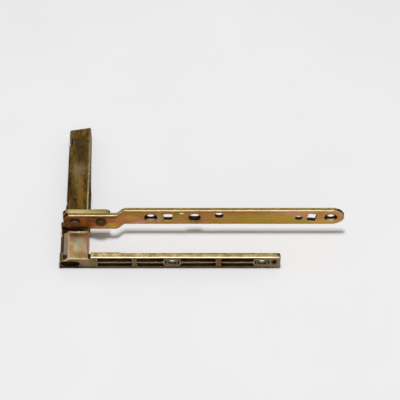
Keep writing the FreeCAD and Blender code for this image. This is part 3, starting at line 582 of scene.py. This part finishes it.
class HingeFinish(bpy.types.PropertyGroup):
    """Colours, worn edges and painted light of the hinge's metals"""

    strip_base: colour_property("Strip brown", "Main tone of the sash strip", (0.51, 0.245, 0.09))
    strip_rose: colour_property("Strip rose", "Rose patches of the sash strip", (0.55, 0.21, 0.125))
    strip_green: colour_property("Strip olive", "Olive patches of the strip", (0.36, 0.27, 0.05))
    strip_yellow: colour_property("Strip yellow", "Yellow patches of the strip", (0.62, 0.39, 0.07))
    strip_pink: colour_property("Strip pink", "Pale pink patches of the strip", (0.56, 0.34, 0.25))
    # Painted shade of the strip: its ends and the band under its top edge.
    strip_painted_shade: colour_property("Strip shadow", "Painted shade on the strip's ends and upper edge", (0.24, 0.092, 0.035))
    # The strip's and the plate's top tones are painted lit tones of the upward faces.
    strip_top: colour_property("Strip edge", "Sheared long edges of the strip", (0.42, 0.345, 0.12))
    plate_top: colour_property("Plate edge", "Bright yellow-green top of the plate", (0.74, 0.64, 0.24))
    saddle_base: colour_property("Saddle tone", "Main tone of the saddle", (0.6, 0.42, 0.26))
    saddle_rose: colour_property("Saddle mauve", "Mauve patches of the saddle", (0.66, 0.44, 0.35))
    saddle_green: colour_property("Saddle olive", "Olive patches of the saddle", (0.52, 0.48, 0.29))
    saddle_mint: colour_property("Saddle mint", "Pale green swirl of the saddle", (0.6, 0.68, 0.47))
    saddle_orange: colour_property("Saddle orange", "Orange-brown patches of the saddle", (0.58, 0.27, 0.09))
    saddle_gold: colour_property("Saddle gold", "Golden front of the saddle", (0.4, 0.25, 0.075))
    saddle_grey: colour_property("Saddle grey", "Mauve-grey bend of the saddle", (0.4, 0.305, 0.235))
    post_base: colour_property("Post brown", "Main tone of the post", (0.15, 0.088, 0.022))
    post_rose: colour_property("Post dark", "Dark patches of the post", (0.06, 0.037, 0.014))
    post_green: colour_property("Post olive", "Olive patches of the post", (0.17, 0.135, 0.045))
    # Painted highlight on the post's upper bend.
    post_rim_highlight: colour_property("Post rim", "Painted highlight on the post's upper bend", (0.3, 0.265, 0.16))
    post_pale: colour_property("Post pale", "Pale grey-gold part of the post", (0.27, 0.215, 0.11))
    post_gold: colour_property("Post gold", "Golden streaks of the post", (0.28, 0.15, 0.028))
    cast_base: colour_property("Casting tone", "Main tone of the casting", (0.2, 0.145, 0.075))
    cast_rose: colour_property("Casting brown", "Brown patches of the casting", (0.18, 0.1, 0.05))
    cast_green: colour_property("Casting olive", "Olive patches of the casting", (0.14, 0.125, 0.05))
    # The three casting top tones are painted lit tones of the upward faces.
    cast_top: colour_property("Casting top", "Painted lit tone of the casting's top", (0.8, 0.6, 0.3))
    cast_top_dark: colour_property("Casting top dark", "Dark olive parts of its top", (0.36, 0.295, 0.1))
    cast_top_olive: colour_property("Casting top olive", "Yellow-olive parts of its top", (0.52, 0.41, 0.17))
    cast_cheek: colour_property("Casting cheek", "Dark brown cheek of the casting", (0.12, 0.075, 0.028))
    # Painted shade at the casting's foot and end corners, and along the strip's top rear edge.
    cast_painted_shade: colour_property("Casting shade", "Painted shade at the casting's foot and corners", (0.07, 0.055, 0.022))
    cast_boss: colour_property("Casting bosses", "Pale rims of the screw bosses", (0.36, 0.28, 0.17))
    cast_red: colour_property("Casting red", "Reddish stain of the pockets", (0.2, 0.06, 0.015))
    lip: colour_property("Saddle lip", "Pale sheared lip of the saddle", (0.95, 0.84, 0.56))
    # The two edge tones paint worn edges and painted edge highlights alike.
    edge_wear_and_highlight: colour_property("Rubbed and highlit edge", "Tone of rubbed plated edges", (0.9, 0.79, 0.49))
    cast_edge_wear_and_highlight: colour_property("Rubbed and highlit casting", "Tone of rubbed cast edges", (0.9, 0.76, 0.52))
    # This film colour also paints shade in corners, holes, gaps and along edges.
    grime_and_shade: colour_property("Grime and shade", "Film and painted shade in corners, holes and pockets", (0.014, 0.009, 0.004))
    rivet: colour_property("Rivet steel", "Dull steel of the rivets and pin", (0.12, 0.08, 0.045))
    brass: colour_property("Bush brass", "Brass of the barrel bush", (0.60, 0.40, 0.14))
    # The edge width sets the band of worn and painted-highlit edges.
    edge_width: bpy.props.FloatProperty(name="Edge width", default=0.5, min=0.1, max=2.0,
                                        description="Width of rubbed edges, in millimetres")


class HingeStage(bpy.types.PropertyGroup):
    """Floor, lights and camera"""

    floor_colour: colour_property("Floor", "Pale tone of the floor", (0.86, 0.865, 0.87))
    floor_size: bpy.props.FloatProperty(name="Floor size", description="Side of the floor",
                                        default=6.0, min=1.0, unit="LENGTH")
    camera_distance: bpy.props.FloatProperty(name="Camera distance", description="From its target",
                                             default=1.40965, min=0.2, unit="LENGTH")
    camera_pitch: bpy.props.FloatProperty(name="Camera pitch", description="Angle down from level",
                                          default=math.radians(58.0), subtype="ANGLE")
    camera_lens: bpy.props.FloatProperty(name="Lens", description="Focal length in millimetres",
                                         default=180.0, min=10.0)
    camera_target: bpy.props.FloatVectorProperty(name="Target", description="Point that the camera looks at",
                                                 default=(-0.00103, 0.0014, 0.0), subtype="TRANSLATION")
    key_power: bpy.props.FloatProperty(name="Top light", description="Power of the overhead light",
                                       default=16.2, min=0.0, unit="POWER")
    front_power: bpy.props.FloatProperty(name="Front light", description="Power of the low front light",
                                         default=14.0, min=0.0, unit="POWER")
    back_power: bpy.props.FloatProperty(name="Back light", description="Power of the wide panel behind",
                                        default=6.6, min=0.0, unit="POWER")
    side_power: bpy.props.FloatProperty(name="Side light", description="Power of the low panel at the right",
                                        default=2.2, min=0.0, unit="POWER")
    world_level: bpy.props.FloatProperty(name="World level", description="Brightness of the surroundings",
                                         default=0.3, min=0.0, max=1.0)


# Operators


class HingeOperator:
    """Shared access to the settings"""

    bl_options = {"REGISTER", "UNDO"}

    @property
    def finish(self):
        return bpy.context.scene.hinge_finish

    @property
    def stage(self):
        return bpy.context.scene.hinge_stage


class OBJECT_OT_hinge_effects(HingeOperator, bpy.types.Operator):
    """Build the node groups that the finishes share"""

    bl_idname = "object.hinge_effects"
    bl_label = "Shared Effects"

    def execute(self, context):
        make_plating_group()
        make_edge_group()
        make_shade_and_grime_group()
        make_grain_group()
        make_patch_group()
        return {"FINISHED"}


class OBJECT_OT_hinge_steel(HingeOperator, bpy.types.Operator):
    """Finish the plated steel: strip, plate, saddle and post"""

    bl_idname = "object.hinge_steel"
    bl_label = "Plated Steel"

    def execute(self, context):
        strip = metal_material(
            "Plated strip", self.finish, ("strip_base", "strip_rose", "strip_green"), patch=150.0, mottle=0.3,
            lit_top_tones=("strip_top", "cast_top_dark", "strip_green"), top_mottle=1.3,
            stains=STRIP_STAINS, marks=STRIP_MARKS, wear_and_highlight=7.0, highlight_from=STRIP_HIGHLIGHT_FROM,
            walls=STRIP_WALLS, sinks=STRIP_SINKS, stretch=(0.6, 1.0, 1.0))
        saddle = metal_material(
            "Plated saddle", self.finish, ("saddle_base", "saddle_rose", "saddle_green"), patch=220.0,
            mottle_scale=900.0, mottle=0.8, stains=SADDLE_STAINS, marks=SADDLE_MARKS, wear_and_highlight=8.0,
            grime_and_shade=0.45, roughness=(0.25, 0.4))
        post = metal_material(
            "Plated post", self.finish, ("post_base", "post_rose", "post_green"), patch=200.0,
            mottle_scale=800.0, mottle=1.5, stains=POST_STAINS, wear_and_highlight=2.5, stretch=(1.0, 0.35, 1.0))
        for node in ("sash_arm", "hinge_plate"):
            dress(node, strip)
        dress("bearing_saddle", saddle)
        dress("sash_post", post)
        return {"FINISHED"}


class OBJECT_OT_hinge_casting(HingeOperator, bpy.types.Operator):
    """Finish the zinc casting of the rail"""

    bl_idname = "object.hinge_casting"
    bl_label = "Zinc Casting"

    def execute(self, context):
        dress("frame_rail", metal_material(
            "Zinc casting", self.finish, ("cast_base", "cast_rose", "cast_green"), edge_name="cast_edge_wear_and_highlight",
            patch=80.0, mottle_scale=900.0, mottle=0.5,
            lit_top_tones=("cast_top", "cast_top_olive", "cast_top_dark"), top_mottle=1.3,
            stains=CASTING_STAINS, marks=CASTING_MARKS, highlight_from=CASTING_HIGHLIGHT_FROM,
            grime_and_shade=2.0, grime_reach=3.5, foot=4.0, walls=CASTING_WALLS,
            roughness=(0.35, 0.5), grain=1600.0, bump=0.15))
        return {"FINISHED"}


class OBJECT_OT_hinge_lip(HingeOperator, bpy.types.Operator):
    """Add the ragged sheared lip along the saddle's rear edge"""

    bl_idname = "object.hinge_lip"
    bl_label = "Saddle Lip"

    def execute(self, context):
        bpy.ops.object.select_all(action="DESELECT")
        bpy.ops.mesh.primitive_cube_add(size=MM, location=in_metres(LIP_PLACE), scale=LIP_SIZE,
                                        rotation=(math.radians(LIP_LEAN), 0.0, 0.0))
        lip = context.object
        lip.name = "saddle_lip"
        bpy.ops.object.mode_set(mode="EDIT")
        bpy.ops.mesh.subdivide(number_cuts=LIP_CUTS)
        bpy.ops.transform.vertex_random(offset=LIP_RAGGED * MM, uniform=1.0, seed=LIP_SEED)
        bpy.ops.mesh.normals_make_consistent(inside=False)
        bpy.ops.object.mode_set(mode="OBJECT")
        bpy.ops.object.transform_apply(location=True, rotation=True, scale=True)
        bpy.ops.object.shade_smooth_by_angle(angle=math.radians(LIP_SMOOTH))
        lip.data.materials.append(metal_material(
            "Sheared lip", self.finish, ("lip", "lip", "plate_top"), patch=420.0, mottle=0.9, grime_and_shade=0.5))
        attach(lip, "frame_side")
        return {"FINISHED"}


class OBJECT_OT_hinge_bearing(HingeOperator, bpy.types.Operator):
    """Finish the pin, washer, clip, bush and rivets"""

    bl_idname = "object.hinge_bearing"
    bl_label = "Bearing And Rivets"

    def execute(self, context):
        steel = metal_material(
            "Dull steel", self.finish, ("rivet", "rivet", "rivet"), edge_name="cast_edge_wear_and_highlight", patch=200.0,
            mottle_scale=900.0, mottle=0.5, wear_and_highlight=3.0, bump=0.2)
        brass = metal_material(
            "Bush brass", self.finish, ("brass", "brass", "brass"), patch=200.0, wear_and_highlight=2.0,
            roughness=(0.2, 0.3))
        for node in ("pivot_pin", "thrust_washer", "pin_clip", "inner_rivet", "outer_rivet"):
            dress(node, steel)
        dress("barrel_bush", brass)
        return {"FINISHED"}


class OBJECT_OT_hinge_stage(HingeOperator, bpy.types.Operator):
    """Set up the pale floor, the soft lights and the camera"""

    bl_idname = "object.hinge_stage"
    bl_label = "Stage"

    def execute(self, context):
        self.make_floor()
        self.make_lights()
        self.make_world()
        self.make_camera()
        context.scene.view_settings.view_transform = "Standard"
        return {"FINISHED"}

    def make_floor(self):
        bpy.ops.object.select_all(action="DESELECT")
        bpy.ops.mesh.primitive_plane_add(size=self.stage.floor_size)
        floor = bpy.context.object
        floor.name = "floor"
        material = bpy.data.materials.new("Pale floor")
        material.use_nodes = True
        tree = material.node_tree
        shader = tree.nodes["Principled BSDF"]
        where = tree.nodes.new("ShaderNodeTexCoord").outputs["Object"]
        tone = remap(tree, noise(tree, where, FLOOR_NOISE, 2.0), *NOISE_RANGE, *FLOOR_TONES)
        colour = add_node(tree, "ShaderNodeVectorMath", {0: self.stage.floor_colour, "Scale": tone},
                          operation="SCALE")
        tree.links.new(colour.outputs[0], shader.inputs["Base Color"])
        shader.inputs["Roughness"].default_value = FLOOR_ROUGHNESS
        shader.inputs["Specular IOR Level"].default_value = FLOOR_SPECULAR
        floor.data.materials.append(material)

    def make_lights(self):
        for name, place, turn, size, power in LAMPS:
            lamp = bpy.data.lights.new(name, "AREA")
            lamp.size = size
            lamp.energy = getattr(self.stage, power)
            lamp.color = KEY_COLOUR if name == KEY_NAME else PLAIN_WHITE
            holder = bpy.data.objects.new(name, lamp)
            holder.location = place
            holder.rotation_euler = [math.radians(angle) for angle in turn]
            holder.visible_glossy = name != KEY_NAME
            holder.visible_diffuse = name == KEY_NAME
            bpy.context.scene.collection.objects.link(holder)

    def make_world(self):
        world = bpy.data.worlds.new("Pale room")
        bpy.context.scene.world = world
        world.use_nodes = True
        warm = (*(part * self.stage.world_level for part in WORLD_TINT), 1.0)
        world.node_tree.nodes["Background"].inputs["Color"].default_value = warm

    def make_camera(self):
        stage = self.stage
        camera_data = bpy.data.cameras.new("photo_view")
        camera_data.lens = stage.camera_lens
        camera_data.clip_end = CAMERA_REACH
        camera = bpy.data.objects.new("photo_view", camera_data)
        away = Vector((0.0, -math.cos(stage.camera_pitch), math.sin(stage.camera_pitch)))
        camera.location = Vector(stage.camera_target) + away * stage.camera_distance
        camera.rotation_euler = Euler((math.pi / 2 - stage.camera_pitch, 0.0, 0.0))
        bpy.context.scene.collection.objects.link(camera)
        bpy.context.scene.camera = camera


class VIEW3D_PT_hinge(bpy.types.Panel):
    """Buttons and settings of the hinge's looks"""

    bl_label = "Corner Hinge"
    bl_idname = "VIEW3D_PT_hinge"
    bl_space_type = "VIEW_3D"
    bl_region_type = "UI"
    bl_category = "Corner Hinge"

    def draw(self, context):
        for operator in OPERATORS:
            self.layout.operator(operator.bl_idname)
        for settings in (context.scene.hinge_finish, context.scene.hinge_stage):
            box = self.layout.box()
            for name in settings.__annotations__:
                box.prop(settings, name)


OPERATORS = (
    OBJECT_OT_hinge_effects,
    OBJECT_OT_hinge_stage,
    OBJECT_OT_hinge_steel,
    OBJECT_OT_hinge_casting,
    OBJECT_OT_hinge_lip,
    OBJECT_OT_hinge_bearing,
)
CLASSES = (HingeFinish, HingeStage, *OPERATORS, VIEW3D_PT_hinge)


def register():
    for cls in CLASSES:
        bpy.utils.register_class(cls)
    bpy.types.Scene.hinge_finish = bpy.props.PointerProperty(type=HingeFinish)
    bpy.types.Scene.hinge_stage = bpy.props.PointerProperty(type=HingeStage)


def unregister():
    del bpy.types.Scene.hinge_stage
    del bpy.types.Scene.hinge_finish
    for cls in reversed(CLASSES):
        bpy.utils.unregister_class(cls)


def main():
    """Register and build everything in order."""
    register()
    bpy.ops.object.hinge_effects()
    bpy.ops.object.hinge_stage()
    bpy.ops.object.hinge_steel()
    bpy.ops.object.hinge_casting()
    bpy.ops.object.hinge_lip()
    bpy.ops.object.hinge_bearing()


if __name__ == "__main__":
    main()
